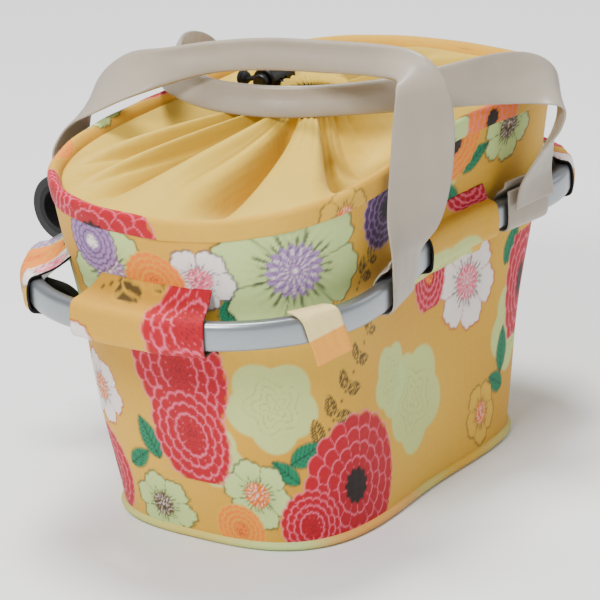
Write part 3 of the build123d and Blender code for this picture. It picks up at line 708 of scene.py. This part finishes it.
FAR = [((84, -95.0, 151), (1.0, -0.08, 0.0), 36, 2.0), ((84, -96.5, 166), (1.0, 0.05, 0.0), 35, 2.0),
       ((85, -103, 184), (0.95, 0.30, 0.0), 34, 2.0), ((87, -111, 202), (0.82, 0.55, 0.05), 33, 2.0),
       ((86, -112, 217), (0.68, 0.60, 0.40), 32, 2.0), ((76, -104, 227), (0.42, 0.48, 0.78), 31, 2.2),
       ((56, -93, 231.5), (0.30, 0.25, 0.92), 29, 2.6), ((32, -79, 232.5), (0.22, 0.18, 0.94), 25, 3.6),
       ((8, -56, 230.5), (0.30, 0.10, 0.95), 20, 5.4), ((-14, -33, 230), (0.35, 0.0, 0.93), 18, 6),
       ((-32, -8, 230), (0.35, 0.0, 0.93), 18, 6), ((-40, 18, 230), (0.35, 0.0, 0.93), 18, 6),
       ((-38, 46, 230), (0.40, 0.0, 0.90), 18, 6), ((-24, 75, 232), (0.45, -0.15, 0.87), 22, 4.4),
       ((8, 99, 230), (0.50, -0.25, 0.80), 29, 2.6), ((44, 112, 215), (0.68, -0.20, 0.68), 36, 2.0),
       ((72, 116.5, 192), (0.93, -0.08, 0.30), 36, 2.0), ((83, 113.5, 170), (1.0, 0.0, 0.0), 36, 2.0),
       ((84, 110.0, 151), (1.0, 0.0, 0.0), 36, 2.0)]


# ---- drawstring liner ------------------------------------------------------------------
def gathers(turn):
    """Height of the folds round the mouth, 0 in a valley and 1 on a ridge."""
    bent = turn + 0.35 * np.sin(2 * turn + 0.6) + 0.12 * np.sin(5 * turn)
    broad = np.abs(np.cos(4.5 * bent + 0.9)) ** 1.3
    fine = np.abs(np.cos(9.5 * bent + 1.1)) ** 0.9
    off = np.abs(np.angle(np.exp(1j * (turn - PANEL_TURN))))
    panel = np.exp(-((off / 0.27) ** 6))
    edge = np.exp(-(((off - 0.41) / 0.12) ** 2))
    return ((0.80 * broad + 0.20 * fine) * (1 - panel) + 0.92 * panel) * (1 - 0.95 * edge)


def liner():
    """Cloth from inside the rim, up in folds to the drawn mouth and a small frill above it."""
    columns = 720
    turns, _ = even_turns(RIM_PLAN, columns)
    folds = gathers(turns)
    small = np.abs(np.cos(22 * turns + 0.9 * np.sin(3 * turns)))
    x_rim, y_rim = outline(RIM_PLAN, turns)
    direction = np.arctan2(y_rim - MOUTH[1], x_rim - MOUTH[0])
    rows = []
    for share in np.linspace(0, 1, 70):
        drop = -3.5 - 12.0 * (1 - min(share / 0.06, 1))
        x0, y0 = outline(plan_at(206.0), turns, -5.9)
        z0 = rim_top(x_rim) + drop
        pull = max(share - 0.06, 0) / 0.94
        radius = 14.5 + 0.8 * small
        xm = MOUTH[0] + radius * np.cos(direction)
        ym = MOUTH[1] + radius * np.sin(direction)
        swell = 1 - (1 - pull) ** 2.8
        deep = (1 - folds) * 40.0 * math.sin(math.pi * min(pull, 1) ** 1.25) ** 0.9
        tuck = small * 1.2 * pull ** 2
        top = 223.0 + 1.0 * pull ** 6
        z = z0 + (top - z0) * swell - deep + tuck
        twist = 9.0 * (folds - 0.5) * math.sin(math.pi * pull)
        x = x0 + (xm - x0) * pull - twist * np.sin(direction)
        y = y0 + (ym - y0) * pull + twist * np.cos(direction)
        rows.append(np.stack([x, y, z], -1))
    for up, out in ((1.5, -1.4), (4.0, 0.6), (6.0, 2.4), (7.4, 3.4)):
        radius = 14.0 + out + (0.6 + 0.5 * up / 7) * small * 1.6
        rows.append(np.stack([MOUTH[0] + radius * np.cos(direction), MOUTH[1] + radius * np.sin(direction),
                              224.0 + up * 0.7 + 0.8 * small], -1))
    obj = dressed(face_out(grid("liner_cloth", np.array(rows), True)), LINER)
    thick = obj.modifiers.new("cloth", "SOLIDIFY")
    thick.thickness = 0.6 * MM
    thick.offset = -1.0
    return obj


def label():
    """Blank woven tab folded round the ring."""
    turn = turn_at(RING_PLAN, -136.0, True)
    spot, out = oriented(RING_PLAN, turn)
    side = np.array([-out[1], out[0]])
    path = spline([(-3.0, 9.8), (3.5, 9.8), (6.0, 6.5), (6.2, -2.0), (6.0, -9.0), (5.4, -18.0)], 8)
    rows, tones = [], []
    for i, (o, up) in enumerate(path):
        share = i / (len(path) - 1)
        lean = 13.0 * share - 3.0
        row = []
        for s in np.linspace(-10.5, 10.5, 20):
            flat = spot + out * (o + 0.15 * math.sin(s)) + side * (s + lean)
            row.append((flat[0], flat[1], RING_Z + up + 0.28 * s * min(1.0, 2 * share)))
        rows.append(row)
        tones.append([srgb("F0DFAE") if share < 0.62 else srgb("F0B95C")] * 20)
    obj = face_out(grid("blank_label", np.array(rows), colours=np.array(tones)))
    dressed(obj, LABEL)
    thick = obj.modifiers.new("cloth", "SOLIDIFY")
    thick.thickness = 0.9 * MM
    thick.offset = 1.0
    return obj


# ---- drawstring ------------------------------------------------------------------------
def cord_curve(name, points, radius):
    """Round cord on one smooth curve."""
    data = bpy.data.curves.new(name, "CURVE")
    data.dimensions = "3D"
    data.bevel_depth = radius * MM
    data.bevel_resolution = 4
    data.use_fill_caps = True
    line = data.splines.new("NURBS")
    line.points.add(len(points) - 1)
    for point, place in zip(line.points, points):
        point.co = (*[c * MM for c in place], 1)
    line.order_u = 3
    line.use_endpoint_u = True
    data.materials.append(CORD)
    obj = bpy.data.objects.new(name, data)
    bpy.context.scene.collection.objects.link(obj)
    return obj


def repaint(names, material):
    """Gives CAD nodes a material."""
    for name in names:
        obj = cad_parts[name]
        obj.data.materials.clear()
        obj.data.materials.append(material)


# ---- assembly ---------------------------------------------------------------------------
def build_body():
    """Wall, binding, piping, lining, floor and ring."""
    body = wall()
    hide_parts("basket_wall")
    strip = binding()
    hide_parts("rim_binding")
    piping = ring_sweep("base_piping_cord", BASE_PLAN, 3.1, rounded(2.9, 2.7, 1.0, 12), 600, piping_tones)
    dressed(piping, PIPING)
    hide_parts("base_piping")
    inside = lining()
    under = floor_cloth()
    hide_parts("floor_panel")
    tube = dressed(ring_sweep("ring_tube", RING_PLAN, RING_Z, rounded(TUBE_OUT, TUBE_UP, 0.55), 720), TUBE)
    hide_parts("frame_tube")
    for obj in (body, strip, piping, inside, under, tube):
        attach(obj, "basket")


def build_tunnels():
    """Sleeves round the ring: start and end turn, and the place in the print."""
    places = {
        "tunnel_near": (math.pi - 0.155, math.pi + 0.345, (-233, 74)),
        "tunnel_front": (turn_at(RING_PLAN, -12, True), turn_at(RING_PLAN, 58, True), (0, 60)),
        "tunnel_far": (-0.74, 0.06, (118, 60)),
        "tunnel_rear_near": (2.18, 2.64, (-206, 120)),
        "tunnel_rear_far": (turn_at(RING_PLAN, 140, False), turn_at(RING_PLAN, 106, False), (200, 60)),
    }
    for name, (start, end, shift) in places.items():
        obj = tunnel(name + "_sleeve", start, end, shift)
        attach(obj, "basket")
        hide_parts(name)


def build_handles():
    """Two webbing handles that bend above their loops."""
    for name, stations, body, x in (("near", NEAR, "near_handle", -62), ("far", FAR, "far_handle", 84)):
        band = strap("handle_" + name + "_webbing", stations)
        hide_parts("handle_" + name)
        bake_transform(band)
        for front in (True, False):
            loop = strap_loop("handle_" + name + ("_loop_front" if front else "_loop_rear"), x, front)
            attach(loop, "basket")
        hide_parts("handle_" + name + "_loops")


def build_liner():
    """Drawstring liner and the label."""
    cloth_liner = liner()
    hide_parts("drawstring_liner")
    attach(cloth_liner, "basket")
    tag = label()
    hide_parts("label_patch")
    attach(tag, "basket")


def build_cords():
    """Free ends of the drawstring, through the lock to the knot."""
    for name, x in (("drawstring_tail_near", 1.8), ("drawstring_tail_far", 6.2)):
        route = [(x, 13.55, 225.0), (x, 18.55, 229.0), (x, 35.0, 229.0), (x, 42.5, 226.0)]
        tail = cord_curve(name + "_cord", route, 1.25)
        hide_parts(name)
        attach(tail, "basket")


def paint_nodes():
    """Materials of the CAD nodes that show as they are."""
    repaint(["hook_plate", "bracket_housing", "clamp_cap_near", "clamp_cap_far", "backing_plate",
             "cord_lock_body", "bottom_board", "rear_stiffener"], BLACK)
    repaint(["latch_bolt", "cord_lock_plunger"], DARK)
    repaint(["release_button"], RED)
    repaint(["bar_shims"], RUBBER)
    repaint(["tube_joiner"], TUBE)
    repaint(["plate_screws", "plate_nuts", "clamp_screws", "clamp_nuts", "latch_spring",
             "cord_lock_spring"], STEEL)
    repaint(["drawstring_cord", "cord_knot"], CORD)


# ---- stage, light and camera -----------------------------------------------------------
WORLD_LIGHT = 0.50
# soft boxes: place and size in metres, and power in watts
LIGHTS = [((-1.6, -0.3, 1.6), 0.5, 46), ((1.7, -1.1, 1.2), 1.2, 6), ((0.15, 0.35, 2.5), 0.8, 80)]


def build_stage():
    """Pale floor, even sky light and three soft boxes."""
    bpy.ops.mesh.primitive_plane_add(size=14, location=(0, 0, 0))
    ground = bpy.context.object
    ground.name = "floor"
    material, _ = new_material("pale_floor", (0.86, 0.86, 0.86), 0.9)
    ground.data.materials.append(material)
    world = bpy.data.worlds.new("studio")
    bpy.context.scene.world = world
    world.use_nodes = True
    world.node_tree.nodes["Background"].inputs["Color"].default_value = (1, 1, 1, 1)
    world.node_tree.nodes["Background"].inputs["Strength"].default_value = WORLD_LIGHT
    for place, size, power in LIGHTS:
        data = bpy.data.lights.new("soft_box", "AREA")
        data.size = size
        data.energy = power
        lamp = bpy.data.objects.new("soft_box", data)
        lamp.location = place
        lamp.rotation_euler = (Vector((0, 0, 0.1)) - Vector(place)).to_track_quat("-Z", "Y").to_euler()
        bpy.context.scene.collection.objects.link(lamp)


def build_camera():
    """Long lens from the near front corner, a little above the rim and rolled a little."""
    azimuth, elevation, roll = math.radians(-54.7), math.radians(18.0), math.radians(2.26)
    distance = 2.6
    back = Vector((math.sin(azimuth) * math.cos(elevation), -math.cos(azimuth) * math.cos(elevation),
                   math.sin(elevation)))
    eye = Vector((0, 0, 0.208)) + back * distance
    level = back.to_track_quat("Z", "Y").to_matrix()
    turned = level @ Matrix.Rotation(-roll, 3, "Z")
    aim = -turned.col[2] * distance - turned.col[1] * 0.1000 - turned.col[0] * 0.0051
    final = (-aim).normalized()
    right = turned.col[1].cross(final).normalized()
    up = final.cross(right)
    data = bpy.data.cameras.new("camera")
    data.lens = 278.0
    data.sensor_width = 36.0
    data.clip_end = 50
    camera = bpy.data.objects.new("camera", data)
    camera.matrix_world = Matrix.Translation(eye) @ Matrix((right, up, final)).transposed().to_4x4()
    bpy.context.scene.collection.objects.link(camera)
    bpy.context.scene.camera = camera


build_body()
build_tunnels()
build_handles()
build_liner()
build_cords()
paint_nodes()
build_stage()
build_camera()
